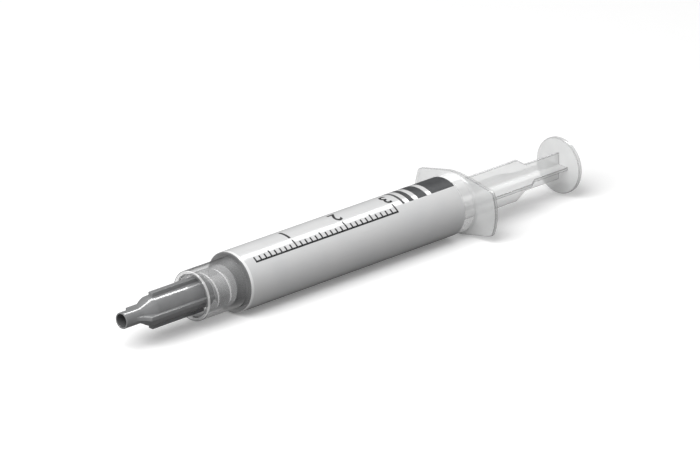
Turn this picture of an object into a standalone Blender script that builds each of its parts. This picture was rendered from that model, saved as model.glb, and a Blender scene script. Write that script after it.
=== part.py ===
"""A paste syringe lying on its side: capped luer-lock barrel, wrapped label, plunger, seal and filling.

Every piece is turned about, or laid out along, the syringe's own axis. Stations along that axis are in
millimetres from the barrel's front rim, positive towards the tip. An empty carries the axis frame to its
place: the tip points along +X, the flange stands on z = 0.
"""

import math

import bmesh
import bpy

MM = 0.001

# Barrel
BARREL_RADIUS = 5.80
BORE_RADIUS = 4.90
RIM_ROUND = 0.15
SHOULDER_FILLET = 0.15      # where the collar stands on the barrel's flat front
CHAMBER_FRONT = -0.70       # station where the bore meets the inner front cone
CHAMBER_THROAT = 0.60
THROAT_CHAMFER = 0.20
BEAD_STATION = -57.60       # ring inside the mouth that keeps the seal from pulling out
BEAD_RADIUS = 4.70
BEAD_HALF_LENGTH = 0.30
BEAD_BACK_RAMP = 0.50
BEAD_FRONT_RAMP = 0.70
MOUTH_CHAMFER = 0.35

# Luer-lock end
COLLAR_FRONT = 9.70
COLLAR_FLOOR = 1.70
COLLAR_RADIUS = 4.85
COLLAR_ROOT_RADIUS = 3.95   # the lock thread is cut no deeper than this
COLLAR_LEAD_IN = 0.60       # length and depth of the flare inside the collar's mouth
COLLAR_LEAD_DEPTH = 0.20
CONE_TIP = 11.80
CONE_TIP_RADIUS = 1.96
CONE_SLOPE = 0.03           # six per cent taper on the diameter
CONE_TIP_ROUND = 0.25
NOZZLE_RADIUS = 1.10

# Finger flange
FLANGE_FRONT = -60.05
FLANGE_THICKNESS = 0.85
FLANGE_HALF_WIDTH = 10.80
FLANGE_HALF_HEIGHT = 6.20
FLANGE_SLOPE = 0.20         # fall of the long edges towards the wing ends
FLANGE_CROWN_RADIUS = 14.0
FLANGE_CORNER_BLEND = 0.80
FLANGE_EDGE_ROUND = 0.16

# Label
LABEL_FRONT = -0.25
LABEL_BACK = -56.80
LABEL_INNER_RADIUS = 5.84
LABEL_OUTER_RADIUS = 5.92

# Plunger
TRAVEL = 26.0               # push left in the plunger, from the photographed position to the front wall
SEAL_STOP_GAP = 0.30        # room left ahead of the seal at the end of that push
SEAL_FRONT = CHAMBER_THROAT - SEAL_STOP_GAP - TRAVEL
SEAL_LENGTH = 7.4
SEAL_RIB_RADIUS = 4.82
SEAL_WAIST_RADIUS = 4.45
SEAL_SKIRT_RADIUS = 4.60
SEAL_EDGE = 0.15
SEAL_NOSE_RADIUS = 1.30
SEAL_NOSE_LENGTH = 1.35
SEAL_RIBS = ((1.90, 2.60), (5.25, 6.10))    # each sealing rib's start and end, behind the nose
SEAL_RIB_RAMP = 0.35
SOCKET_MOUTH_RADIUS = 1.80
SOCKET_MOUTH_LENGTH = 1.40
SOCKET_RADIUS = 2.60
SOCKET_FLOOR = 2.40         # thickness of rubber ahead of the rod's head
SOCKET_FLOOR_TAPER = 1.20
ROD_NECK_RADIUS = 1.55
ROD_HEAD_RADIUS = 2.35
ROD_HEAD_TAPER = 1.10
ROD_PLAY = 0.35             # room between the rod's head and the seal, along the axis
GUIDE_RADIUS = 4.50
GUIDE_THICKNESS = 1.10
GUIDE_EDGE = 0.10
RIB_THICKNESS = 0.65
RIB_WIDE = 4.25
RIB_NARROW = 2.75
RIB_STEP_FRONT = -77.10     # the ribs taper from wide to narrow between these two stations
RIB_STEP_BACK = -79.50
DISC_FRONT = -88.95
DISC_THICKNESS = 0.90
DISC_RADIUS = 5.70
DISC_ROUND = 0.20

# Cap
CAP_TIP = 27.10
STEM_RADIUS = 1.57
STEM_BORE_RADIUS = 1.20
STEM_BORE_END = 18.40
FLARE_FRONT = 23.30
FLARE_BACK = 19.90
CAP_RADIUS = 2.85
CAP_BACK = 6.40
CAP_EDGE = 0.15
STEM_EDGE = 0.12
STEM_BORE_DRAFT = 0.10
STEM_BORE_POINT = 0.40      # depth of the cone at the bottom of the stem's bore
CAP_SOCKET_END = 12.40
CAP_SOCKET_GAP = 0.12
FIN_RADIUS = 3.55
FIN_BACK = 6.90
FIN_ROOT_DEPTH = 0.25       # how far the fins reach into the walls that carry them
STEM_ROOT_DEPTH = 0.17
RIB_FIN_WIDTH = 1.10        # upper and lower fins, blunt in front
RIB_FIN_FRONT = 19.85
WING_FIN_WIDTH = 0.76       # side fins, which ramp down to the stem
WING_FIN_SHOULDER = 22.75
WING_FIN_TOE = 25.10
WING_FIN_BEND = (0.75, 0.35)    # the hollow ramp bends this far ahead of the shoulder and above the stem
WING_ROOT_STEP = (17.0, 17.6)   # where the wings' roots pass from the body's wall to the stem's

# Facets
ROUND_STEPS = 48
SMALL_ROUND_STEPS = 40
FLARE_STEPS = 8
RAMP_STEPS = 4
CORNER_SHARES = (-0.70, -0.25, 0.25, 0.70)      # extra steps at each flange corner
SHARP_ANGLE = 30.0

GAP = 0.10                  # room between the filling and the walls round it


def remove_everything():
    for old in list(bpy.data.objects):
        bpy.data.objects.remove(old, do_unlink=True)


def plastic(name, colour, roughness, alpha=1.0):
    material = bpy.data.materials.new(name)
    material.use_nodes = True
    shader = material.node_tree.nodes["Principled BSDF"]
    shader.inputs["Base Color"].default_value = (*colour, 1.0)
    shader.inputs["Roughness"].default_value = roughness
    shader.inputs["Metallic"].default_value = 0.0
    shader.inputs["Alpha"].default_value = alpha
    material.diffuse_color = (*colour, alpha)
    return material


def even_angles(steps):
    return [2.0 * math.pi * i / steps for i in range(steps)]


def add_object(name, shape, material, carrier):
    bmesh.ops.remove_doubles(shape, verts=shape.verts, dist=1e-7)
    bmesh.ops.recalc_face_normals(shape, faces=shape.faces)
    mesh = bpy.data.meshes.new(name)
    shape.to_mesh(mesh)
    shape.free()
    mesh.shade_smooth()
    mesh.set_sharp_from_angle(angle=math.radians(SHARP_ANGLE))
    made = bpy.data.objects.new(name, mesh)
    bpy.context.collection.objects.link(made)
    made.parent = carrier
    if material:
        mesh.materials.append(material)
    return made


def ring(shape, station, radius, angles):
    """One ring of points round the axis; a radius of 0 is a single point on it."""
    if radius == 0:
        return [shape.verts.new((station * MM, 0.0, 0.0))]
    points = []
    for angle in angles:
        reach = (radius(angle) if callable(radius) else radius) * MM
        points.append(shape.verts.new((station * MM, reach * math.cos(angle), reach * math.sin(angle))))
    return points


def skin(shape, ahead, behind):
    """Faces between two neighbouring rings, one of which may be a single point."""
    count = max(len(ahead), len(behind))
    for i in range(count):
        j = (i + 1) % count
        front = [ahead[i % len(ahead)], ahead[j % len(ahead)]]
        back = [behind[j % len(behind)], behind[i % len(behind)]]
        shape.faces.new(list(dict.fromkeys(front + back)))


def turned(profile, angles):
    """A solid from (station, radius) pairs, closed by end points on the axis or as a loop round a hole."""
    shape = bmesh.new()
    rings = [ring(shape, station, radius, angles) for station, radius in profile]
    for ahead, behind in zip(rings, rings[1:]):
        skin(shape, ahead, behind)
    if len(rings[0]) > 1:
        skin(shape, rings[-1], rings[0])
    return shape


def prism(shape, outline, half_width, side):
    """A plate from (station, height) pairs, extruded both ways; side is its angle round the axis."""
    cos, sin = math.cos(side), math.sin(side)
    layers = []
    for across in (-half_width, half_width):
        layers.append([
            shape.verts.new((
                station * MM,
                (height * cos - across * sin) * MM,
                (height * sin + across * cos) * MM,
            ))
            for station, height in outline
        ])
    shape.faces.new(layers[0])
    shape.faces.new(layers[1])
    skin(shape, layers[0], layers[1])


def unite(target, tool):
    tool.hide_render = True
    tool.display_type = "WIRE"
    join = target.modifiers.new("join_" + tool.name, "BOOLEAN")
    join.operation = "UNION"
    join.solver = "EXACT"
    join.object = tool


def smooth_min(a, b, blend):
    overlap = max(blend - abs(a - b), 0.0) / blend
    return min(a, b) - overlap * overlap * blend / 4.0


def flange_reach(angle):
    """Distance from the axis to the flange's edge: sloped long edges with a round crown, arc-shaped ends."""
    across, up = abs(math.cos(angle)), abs(math.sin(angle))
    crown_drop = FLANGE_CROWN_RADIUS - FLANGE_HALF_HEIGHT
    tilt = math.atan(FLANGE_SLOPE)
    crown = -crown_drop * up + math.sqrt(FLANGE_CROWN_RADIUS ** 2 - (crown_drop * across) ** 2)
    if crown * across < FLANGE_CROWN_RADIUS * math.sin(tilt):
        return crown
    apex = FLANGE_CROWN_RADIUS / math.cos(tilt) - crown_drop
    edge = apex / (up + FLANGE_SLOPE * across)
    return smooth_min(edge, FLANGE_HALF_WIDTH, FLANGE_CORNER_BLEND)


def barrel_angles():
    """Even steps, with more where the flange's four corners turn."""
    tilt = math.atan(FLANGE_SLOPE)
    apex = FLANGE_CROWN_RADIUS / math.cos(tilt) - FLANGE_CROWN_RADIUS + FLANGE_HALF_HEIGHT
    corner = math.asin(apex * math.cos(tilt) / FLANGE_HALF_WIDTH) - tilt
    step = 2.0 * math.pi / ROUND_STEPS
    angles = even_angles(ROUND_STEPS)
    for middle in (corner, math.pi - corner, math.pi + corner, 2.0 * math.pi - corner):
        angles += [middle + step * share for share in CORNER_SHARES]
    return sorted(angles)


def cone_radius(station):
    return CONE_TIP_RADIUS + CONE_SLOPE * (CONE_TIP - station)


def barrel_profile():
    flange_back = FLANGE_FRONT - FLANGE_THICKNESS
    edge = FLANGE_EDGE_ROUND
    tip_shoulder = CONE_TIP - CONE_TIP_ROUND

    def inset_edge(angle):
        return flange_reach(angle) - edge

    luer_end = [
        (CONE_TIP, NOZZLE_RADIUS),
        (CONE_TIP, CONE_TIP_RADIUS - CONE_TIP_ROUND),
        (tip_shoulder, cone_radius(tip_shoulder)),
        (COLLAR_FLOOR, cone_radius(COLLAR_FLOOR)),
        (COLLAR_FLOOR, COLLAR_ROOT_RADIUS),
        (COLLAR_FRONT - COLLAR_LEAD_IN, COLLAR_ROOT_RADIUS),
        (COLLAR_FRONT, COLLAR_ROOT_RADIUS + COLLAR_LEAD_DEPTH),
        (COLLAR_FRONT, COLLAR_RADIUS - RIM_ROUND),
        (COLLAR_FRONT - RIM_ROUND, COLLAR_RADIUS),
        (SHOULDER_FILLET, COLLAR_RADIUS),
        (0.0, COLLAR_RADIUS + SHOULDER_FILLET),
    ]
    outside = [
        (0.0, BARREL_RADIUS - RIM_ROUND),
        (-RIM_ROUND, BARREL_RADIUS),
        (FLANGE_FRONT, BARREL_RADIUS),
        (FLANGE_FRONT, inset_edge),
        (FLANGE_FRONT - edge, flange_reach),
        (flange_back + edge, flange_reach),
        (flange_back, inset_edge),
    ]
    inside = [
        (flange_back, BORE_RADIUS + MOUTH_CHAMFER),
        (flange_back + MOUTH_CHAMFER, BORE_RADIUS),
        (BEAD_STATION - BEAD_HALF_LENGTH - BEAD_BACK_RAMP, BORE_RADIUS),
        (BEAD_STATION - BEAD_HALF_LENGTH, BEAD_RADIUS),
        (BEAD_STATION + BEAD_HALF_LENGTH, BEAD_RADIUS),
        (BEAD_STATION + BEAD_HALF_LENGTH + BEAD_FRONT_RAMP, BORE_RADIUS),
        (CHAMBER_FRONT, BORE_RADIUS),
        (CHAMBER_THROAT, NOZZLE_RADIUS + THROAT_CHAMFER),
        (CHAMBER_THROAT + THROAT_CHAMFER, NOZZLE_RADIUS),
    ]
    return luer_end + outside + inside


def label_profile():
    return [
        (LABEL_FRONT, LABEL_INNER_RADIUS),
        (LABEL_FRONT, LABEL_OUTER_RADIUS),
        (LABEL_BACK, LABEL_OUTER_RADIUS),
        (LABEL_BACK, LABEL_INNER_RADIUS),
    ]


def seal_profile():
    nose = SEAL_FRONT
    back = SEAL_FRONT - SEAL_LENGTH
    outside = [(nose, 0), (nose, SEAL_NOSE_RADIUS), (nose - SEAL_NOSE_LENGTH, SEAL_WAIST_RADIUS)]
    for start, end in SEAL_RIBS:
        outside += [
            (nose - start + SEAL_RIB_RAMP, SEAL_WAIST_RADIUS),
            (nose - start, SEAL_RIB_RADIUS),
            (nose - end, SEAL_RIB_RADIUS),
            (nose - end - SEAL_RIB_RAMP, SEAL_WAIST_RADIUS),
        ]
    outside += [
        (back + SEAL_EDGE, SEAL_SKIRT_RADIUS),
        (back, SEAL_SKIRT_RADIUS - SEAL_EDGE),
    ]
    socket_floor = nose - SOCKET_FLOOR
    socket = [
        (back, SOCKET_MOUTH_RADIUS + SEAL_EDGE),
        (back + SEAL_EDGE, SOCKET_MOUTH_RADIUS),
        (back + SOCKET_MOUTH_LENGTH, SOCKET_MOUTH_RADIUS),
        (back + SOCKET_MOUTH_LENGTH, SOCKET_RADIUS),
        (socket_floor - SOCKET_FLOOR_TAPER, SOCKET_RADIUS),
        (socket_floor, SOCKET_RADIUS - SOCKET_FLOOR_TAPER),
        (socket_floor, 0),
    ]
    return outside + socket


def filling_profile():
    core = NOZZLE_RADIUS - GAP
    wall = BORE_RADIUS - GAP
    nose = SEAL_FRONT + 2.0 * GAP
    return [
        (CONE_TIP - GAP, 0),
        (CONE_TIP - GAP, core),
        (CHAMBER_THROAT, core),
        (CHAMBER_THROAT - GAP, NOZZLE_RADIUS),
        (CHAMBER_FRONT - GAP, wall),
        (nose - SEAL_NOSE_LENGTH, wall),
        (nose, SEAL_NOSE_RADIUS),
        (nose, 0),
    ]


def guide_front():
    """Station of the rod's guide disc, just behind the seal."""
    return SEAL_FRONT - SEAL_LENGTH - ROD_PLAY


def rod_front_profile():
    """Guide disc, neck and mushroom head at the rod's front end."""
    nose = SEAL_FRONT - SOCKET_FLOOR - ROD_PLAY
    lip = SEAL_FRONT - SEAL_LENGTH + SOCKET_MOUTH_LENGTH + ROD_PLAY
    guide = guide_front()
    return [
        (nose, 0),
        (nose, ROD_HEAD_RADIUS - ROD_HEAD_TAPER),
        (nose - ROD_HEAD_TAPER, ROD_HEAD_RADIUS),
        (lip, ROD_HEAD_RADIUS),
        (lip, ROD_NECK_RADIUS),
        (guide, ROD_NECK_RADIUS),
        (guide, GUIDE_RADIUS - GUIDE_EDGE),
        (guide - GUIDE_EDGE, GUIDE_RADIUS),
        (guide - GUIDE_THICKNESS, GUIDE_RADIUS),
        (guide - GUIDE_THICKNESS, 0),
    ]


def disc_profile():
    back = DISC_FRONT - DISC_THICKNESS
    return [
        (DISC_FRONT, 0),
        (DISC_FRONT, DISC_RADIUS - DISC_ROUND),
        (DISC_FRONT - DISC_ROUND, DISC_RADIUS),
        (back + DISC_ROUND, DISC_RADIUS),
        (back, DISC_RADIUS - DISC_ROUND),
        (back, 0),
    ]


def cross_ribs():
    """The rod's plus-shaped section, wide in the barrel and narrow near the thumb disc."""
    front = guide_front() - GUIDE_THICKNESS / 2.0
    stations = [
        (front, RIB_WIDE),
        (RIB_STEP_FRONT, RIB_WIDE),
        (RIB_STEP_BACK, RIB_NARROW),
        (DISC_FRONT - DISC_THICKNESS / 2.0, RIB_NARROW),
    ]
    half = RIB_THICKNESS / 2.0
    shape = bmesh.new()
    sections = []
    for station, reach in stations:
        section = []
        for quarter in range(4):
            cos, sin = round(math.cos(quarter * math.pi / 2)), round(math.sin(quarter * math.pi / 2))
            for out, along in ((reach, -half), (reach, half), (half, half)):
                section.append(shape.verts.new((
                    station * MM,
                    (out * cos - along * sin) * MM,
                    (out * sin + along * cos) * MM,
                )))
        sections.append(section)
    for ahead, behind in zip(sections, sections[1:]):
        skin(shape, ahead, behind)
    shape.faces.new(sections[0])
    shape.faces.new(sections[-1])
    return shape


def flare_radius(share):
    """S-shaped growth from the stem to the cap's body."""
    return STEM_RADIUS + (CAP_RADIUS - STEM_RADIUS) * share * share * (3.0 - 2.0 * share)


def cap_profile():
    flare = []
    for i in range(FLARE_STEPS + 1):
        share = i / FLARE_STEPS
        flare.append((FLARE_FRONT + (FLARE_BACK - FLARE_FRONT) * share, flare_radius(share)))
    mouth = cone_radius(CAP_BACK) + CAP_SOCKET_GAP
    stem = [
        (STEM_BORE_END, 0),
        (STEM_BORE_END + STEM_BORE_POINT, STEM_BORE_RADIUS - STEM_BORE_DRAFT),
        (CAP_TIP, STEM_BORE_RADIUS),
        (CAP_TIP, STEM_RADIUS - STEM_EDGE),
        (CAP_TIP - STEM_EDGE, STEM_RADIUS),
    ]
    back = [
        (CAP_BACK + CAP_EDGE, CAP_RADIUS),
        (CAP_BACK, CAP_RADIUS - CAP_EDGE),
        (CAP_BACK, mouth + CAP_EDGE),
        (CAP_BACK + CAP_EDGE, mouth),
        (CAP_SOCKET_END, cone_radius(CAP_SOCKET_END) + CAP_SOCKET_GAP),
        (CAP_SOCKET_END, 0),
    ]
    return stem + flare + back


def hollow_ramp(toe, bend, shoulder):
    """Points of a curve that leaves the toe and reaches the shoulder, drawn towards the bend between them."""
    points = []
    for i in range(RAMP_STEPS + 1):
        share = i / RAMP_STEPS
        weights = ((1.0 - share) ** 2, 2.0 * share * (1.0 - share), share ** 2)
        station = weights[0] * toe[0] + weights[1] * bend[0] + weights[2] * shoulder[0]
        height = weights[0] * toe[1] + weights[1] * bend[1] + weights[2] * shoulder[1]
        points.append((station, height))
    return points


def cap_fins():
    """Two blunt fins above and below, and two ramped wings at the sides, rooted in the cap's wall."""
    root = CAP_RADIUS - FIN_ROOT_DEPTH
    stem_root = STEM_RADIUS - STEM_ROOT_DEPTH
    blunt = [(FIN_BACK, root), (RIB_FIN_FRONT, root), (RIB_FIN_FRONT, FIN_RADIUS), (FIN_BACK, FIN_RADIUS)]
    bend = (WING_FIN_SHOULDER + WING_FIN_BEND[0], STEM_RADIUS + WING_FIN_BEND[1])
    ramp = hollow_ramp((WING_FIN_TOE, stem_root), bend, (WING_FIN_SHOULDER, FIN_RADIUS))
    ramped = [(FIN_BACK, root), (WING_ROOT_STEP[0], root), (WING_ROOT_STEP[1], stem_root)]
    ramped += ramp + [(FIN_BACK, FIN_RADIUS)]
    shape = bmesh.new()
    for side in (0.0, math.pi):
        prism(shape, ramped, WING_FIN_WIDTH / 2.0, side)
    for side in (math.pi / 2.0, 3.0 * math.pi / 2.0):
        prism(shape, blunt, RIB_FIN_WIDTH / 2.0, side)
    return shape


def build():
    remove_everything()
    axis = bpy.data.objects.new("syringe_axis", None)
    bpy.context.collection.objects.link(axis)
    middle = (CAP_TIP + DISC_FRONT - DISC_THICKNESS) / 2.0
    axis.location = (-middle * MM, 0.0, FLANGE_HALF_HEIGHT * MM)

    clear = plastic("clear_barrel", (0.86, 0.88, 0.90), 0.12, 0.35)
    clear_rod = plastic("clear_rod", (0.84, 0.86, 0.88), 0.15, 0.45)
    film = plastic("label_film", (0.82, 0.83, 0.84), 0.35)
    rubber = plastic("seal_rubber", (0.02, 0.02, 0.022), 0.6)
    paste = plastic("grey_paste", (0.32, 0.33, 0.34), 0.45)
    dark = plastic("cap_dark", (0.19, 0.192, 0.195), 0.2)

    wide = barrel_angles()
    small = even_angles(SMALL_ROUND_STEPS)
    add_object("barrel", turned(barrel_profile(), wide), clear, axis)
    add_object("wrap_label", turned(label_profile(), wide), film, axis)
    add_object("plunger_seal", turned(seal_profile(), small), rubber, axis)
    add_object("thermal_paste", turned(filling_profile(), small), paste, axis)

    rod = add_object("plunger_rod", cross_ribs(), clear_rod, axis)
    unite(rod, add_object("rod_front_end", turned(rod_front_profile(), small), None, axis))
    unite(rod, add_object("rod_thumb_disc", turned(disc_profile(), even_angles(ROUND_STEPS)), None, axis))

    cap = add_object("tip_cap", turned(cap_profile(), small), dark, axis)
    unite(cap, add_object("cap_fin_set", cap_fins(), None, axis))


build()
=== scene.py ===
import math

import bmesh
import bpy
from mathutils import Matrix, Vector


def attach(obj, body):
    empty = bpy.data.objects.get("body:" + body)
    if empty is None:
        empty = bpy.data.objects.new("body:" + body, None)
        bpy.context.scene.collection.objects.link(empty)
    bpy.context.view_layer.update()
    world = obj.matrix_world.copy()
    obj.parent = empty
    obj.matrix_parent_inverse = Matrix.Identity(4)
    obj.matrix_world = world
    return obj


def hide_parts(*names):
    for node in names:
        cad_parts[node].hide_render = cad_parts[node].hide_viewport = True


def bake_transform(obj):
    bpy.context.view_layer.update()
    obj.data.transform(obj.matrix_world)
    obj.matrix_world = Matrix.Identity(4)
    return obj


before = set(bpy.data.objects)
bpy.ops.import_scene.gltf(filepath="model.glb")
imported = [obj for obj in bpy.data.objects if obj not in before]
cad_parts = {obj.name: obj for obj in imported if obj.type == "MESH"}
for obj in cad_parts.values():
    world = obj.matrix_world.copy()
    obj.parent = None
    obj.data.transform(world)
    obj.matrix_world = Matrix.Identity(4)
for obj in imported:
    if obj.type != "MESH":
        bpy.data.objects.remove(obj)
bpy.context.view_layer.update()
print("frame loaded:", ", ".join(sorted(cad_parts)))

mm = 0.001
fullTurn = 2.0 * math.pi
syringeAxis = {"x": 31.375, "z": 6.2}   # where station 0 of the syringe's axis lies in the frame, in mm
meshRules = {
    "sharpAngle": 38.0, "creaseAngle": 35.0,    # degrees
    "weld": 1e-7, "slack": 0.02,                # metres, and mm
    "roundFrom": 0.12, "roundTo": 0.97}         # how far along the axis a rounded edge's normal points


# Shared mesh helpers
# Stations run along the axis in mm from the barrel's front rim, positive towards the tip.

def place(station, across, up):
    return ((station + syringeAxis["x"]) * mm, across * mm, (up + syringeAxis["z"]) * mm)


def roundPlace(station, radius, angle):
    return place(station, radius * math.cos(angle), radius * math.sin(angle))


def valueAt(value, angle):
    return value(angle) if callable(value) else value


def evenAngles(steps):
    return [fullTurn * i / steps for i in range(steps)]


def quarterTurn(steps):
    return [k / steps * math.pi / 2 for k in range(steps + 1)]


def bend(enter, corner, leave, steps):
    # a curve that sets out towards the corner and comes in from it
    line = []
    for k in range(steps + 1):
        t = k / steps
        point = enter * (1 - t) ** 2 + corner * (2 * t * (1 - t)) + leave * t ** 2
        line.append((point.x, point.y))
    return line


def softCorners(corners, steps=4):
    # a corner is (station, radius, rounding), and a rounding of 0 keeps it sharp
    line = []
    for i, (station, radius, rounding) in enumerate(corners):
        if not rounding:
            line.append((station, radius))
            continue
        corner = Vector((station, radius))
        before = Vector(corners[i - 1][:2]) - corner
        after = Vector(corners[(i + 1) % len(corners)][:2]) - corner
        enter = corner + before.normalized() * rounding
        leave = corner + after.normalized() * rounding
        line += bend(enter, corner, leave, steps)
    return line


def addRing(shape, station, radius, angles):
    if radius == 0:
        return [shape.verts.new(place(station, 0.0, 0.0))]
    ring = []
    for angle in angles:
        spot = roundPlace(valueAt(station, angle), valueAt(radius, angle), angle)
        ring.append(shape.verts.new(spot))
    return ring


def skinRings(shape, ahead, behind):
    count = max(len(ahead), len(behind))
    for i in range(count):
        j = (i + 1) % count
        corners = [ahead[i % len(ahead)], ahead[j % len(ahead)]]
        corners += [behind[j % len(behind)], behind[i % len(behind)]]
        shape.faces.new(list(dict.fromkeys(corners)))


def turnedShape(line, angles):
    # rings of (station, radius), closed by points on the axis or, round a hole, back to the first ring
    shape = bmesh.new()
    rings = [addRing(shape, station, radius, angles) for station, radius in line]
    for ahead, behind in zip(rings, rings[1:]):
        skinRings(shape, ahead, behind)
    if len(rings[0]) > 1:
        skinRings(shape, rings[-1], rings[0])
    return shape


def plateShape(outline, halfWidth, side, rounding):
    # a plate from (station, height) pairs, thick both ways, turned round the axis by side
    shape = bmesh.new()
    cos, sin = math.cos(side), math.sin(side)
    layers = []
    for across in (-halfWidth, halfWidth):
        layer = []
        for station, height in outline:
            spot = place(station, height * cos - across * sin, height * sin + across * cos)
            layer.append(shape.verts.new(spot))
        layers.append(layer)
    shape.faces.new(layers[0])
    shape.faces.new(layers[1])
    skinRings(shape, layers[0], layers[1])
    bmesh.ops.recalc_face_normals(shape, faces=shape.faces)
    creaseAngle = math.radians(meshRules["creaseAngle"])
    creases = [edge for edge in shape.edges if edge.calc_face_angle(0.0) > creaseAngle]
    bmesh.ops.bevel(shape, geom=creases, offset=rounding * mm, segments=3, profile=0.5,
                    affect="EDGES", clamp_overlap=True)
    return shape


def markFaces(shape, slot, chosen):
    # gives a material slot to the faces that chosen(station, distance from the axis, normal) picks
    bmesh.ops.recalc_face_normals(shape, faces=shape.faces)
    shape.normal_update()
    for face in shape.faces:
        spot = face.calc_center_median() / mm
        reach = math.hypot(spot.y, spot.z - syringeAxis["z"])
        if chosen(spot.x - syringeAxis["x"], reach, face.normal):
            face.material_index = slot


def onRounding(normal):
    return meshRules["roundFrom"] < abs(normal.x) < meshRules["roundTo"]


def smoothMesh(mesh):
    mesh.shade_smooth()
    mesh.set_sharp_from_angle(angle=math.radians(meshRules["sharpAngle"]))


def addObject(name, data):
    made = bpy.data.objects.new(name, data)
    bpy.context.scene.collection.objects.link(made)
    return made


def newPiece(name, shape, materials):
    bmesh.ops.remove_doubles(shape, verts=shape.verts, dist=meshRules["weld"])
    bmesh.ops.recalc_face_normals(shape, faces=shape.faces)
    mesh = bpy.data.meshes.new(name)
    shape.to_mesh(mesh)
    shape.free()
    smoothMesh(mesh)
    for material in materials:
        mesh.materials.append(material)
    return addObject(name, mesh)


def uniteInto(piece, tools):
    for tool in tools:
        join = piece.modifiers.new("join", "BOOLEAN")
        join.operation = "UNION"
        join.solver = "EXACT"
        join.object = tool
    depsgraph = bpy.context.evaluated_depsgraph_get()
    made = bpy.data.meshes.new_from_object(piece.evaluated_get(depsgraph))
    made.name = piece.name
    piece.modifiers.clear()
    piece.data = made
    for tool in tools:
        bpy.data.objects.remove(tool, do_unlink=True)
    smoothMesh(made)


def addShell(piece, other):
    # a closed shell that only just enters the piece, kept whole so that its face shows through clear walls
    both = bmesh.new()
    both.from_mesh(piece.data)
    both.from_mesh(other.data)
    both.to_mesh(piece.data)
    both.free()
    bpy.data.objects.remove(other, do_unlink=True)


# Shader helpers

def newGroup(name, inputs, outputs):
    group = bpy.data.node_groups.new(name, "ShaderNodeTree")
    for label, value in inputs.items():
        socket = group.interface.new_socket(name=label, in_out="INPUT", socket_type="NodeSocketFloat")
        socket.default_value = value
    for label in outputs:
        group.interface.new_socket(name=label, in_out="OUTPUT", socket_type="NodeSocketFloat")
    enter = group.nodes.new("NodeGroupInput")
    leave = group.nodes.new("NodeGroupOutput")
    return group, enter, leave


def setSockets(node, values):
    # plain values stay on the sockets, and outputs of other nodes are linked to them
    for socket, value in values.items():
        if isinstance(value, bpy.types.NodeSocket):
            node.id_data.links.new(value, node.inputs[socket])
        else:
            node.inputs[socket].default_value = value


def addNoise(tree, vector, scale, detail, roughness):
    noise = tree.nodes.new("ShaderNodeTexNoise")
    setSockets(noise, {"Vector": vector, "Scale": scale, "Detail": detail, "Roughness": roughness})
    return noise.outputs["Fac"]


def addRange(tree, value, low, high, toLow=0.0, toHigh=1.0):
    span = tree.nodes.new("ShaderNodeMapRange")
    span.interpolation_type = "SMOOTHSTEP"
    setSockets(span, {"Value": value, "From Min": low, "From Max": high, "To Min": toLow, "To Max": toHigh})
    return span.outputs["Result"]


moulding = {
    "cloud": (3.0, 0.5), "cloudRange": (0.25, 0.75), "glossRange": (0.3, 0.7),    # detail and roughness
    "ripple": (2600.0, 2.0, 0.45)}      # scale, detail and roughness
rubbing = {"streak": (1.0, 4.0, 0.6), "range": (0.56, 0.78)}


def mouldedFinish():
    # slow cloudiness in the gloss and a fine ripple from the mould
    group, enter, leave = newGroup(
        "mouldedFinish", {"Scale": 400.0, "Smooth": 0.1, "Rough": 0.2}, ["Roughness", "Height", "Cloud"])
    coords = group.nodes.new("ShaderNodeTexCoord").outputs["Object"]
    cloud = addNoise(group, coords, enter.outputs["Scale"], *moulding["cloud"])
    ripple = addNoise(group, coords, *moulding["ripple"])
    gloss = addRange(group, cloud, *moulding["glossRange"], enter.outputs["Smooth"], enter.outputs["Rough"])
    setSockets(leave, {
        "Roughness": gloss, "Height": ripple, "Cloud": addRange(group, cloud, *moulding["cloudRange"])})
    return group


def handlingMarks():
    # faint rubbed streaks left by packing and fingers
    group, enter, leave = newGroup("handlingMarks", {"Along": 120.0, "Round": 1500.0}, ["Rub"])
    coords = group.nodes.new("ShaderNodeTexCoord").outputs["Object"]
    along, around = enter.outputs["Along"], enter.outputs["Round"]
    stretch = group.nodes.new("ShaderNodeCombineXYZ")
    setSockets(stretch, {"X": along, "Y": around, "Z": around})
    scaled = group.nodes.new("ShaderNodeVectorMath")
    scaled.operation = "MULTIPLY"
    setSockets(scaled, {0: coords, 1: stretch.outputs["Vector"]})
    streak = addNoise(group, scaled.outputs["Vector"], *rubbing["streak"])
    setSockets(leave, {"Rub": addRange(group, streak, *rubbing["range"])})
    return group


finishGroup = mouldedFinish()
marksGroup = handlingMarks()


def newMaterial(name):
    material = bpy.data.materials.new(name)
    material.use_nodes = True
    return material, material.node_tree, material.node_tree.nodes["Principled BSDF"]


def placeGroup(tree, group, values):
    node = tree.nodes.new("ShaderNodeGroup")
    node.node_tree = group
    setSockets(node, values)
    return node


def mixColours(tree, amount, low, high):
    mix = tree.nodes.new("ShaderNodeMix")
    mix.data_type = "RGBA"
    low, high = [(*c, 1.0) if isinstance(c, tuple) else c for c in (low, high)]
    setSockets(mix, {"Factor": amount, 6: low, 7: high})    # 6 and 7 are the mix node's two colours
    return mix.outputs[2]


def addFinish(tree, shader, look):
    # gloss and ripple from the moulded finish, and its clouds for the colour
    finish = placeGroup(tree, finishGroup, {
        "Scale": look["cloudScale"], "Smooth": look["smooth"], "Rough": look["rough"]})
    bump = tree.nodes.new("ShaderNodeBump")
    setSockets(bump, {
        "Strength": look["ripple"], "Distance": look["depth"], "Height": finish.outputs["Height"]})
    setSockets(shader, {"Normal": bump.outputs["Normal"], "Roughness": finish.outputs["Roughness"]})
    return finish.outputs["Cloud"]


def addRub(tree, look):
    marks = placeGroup(tree, marksGroup, {"Along": look["along"], "Round": look["round"]})
    return marks.outputs["Rub"]


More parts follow.
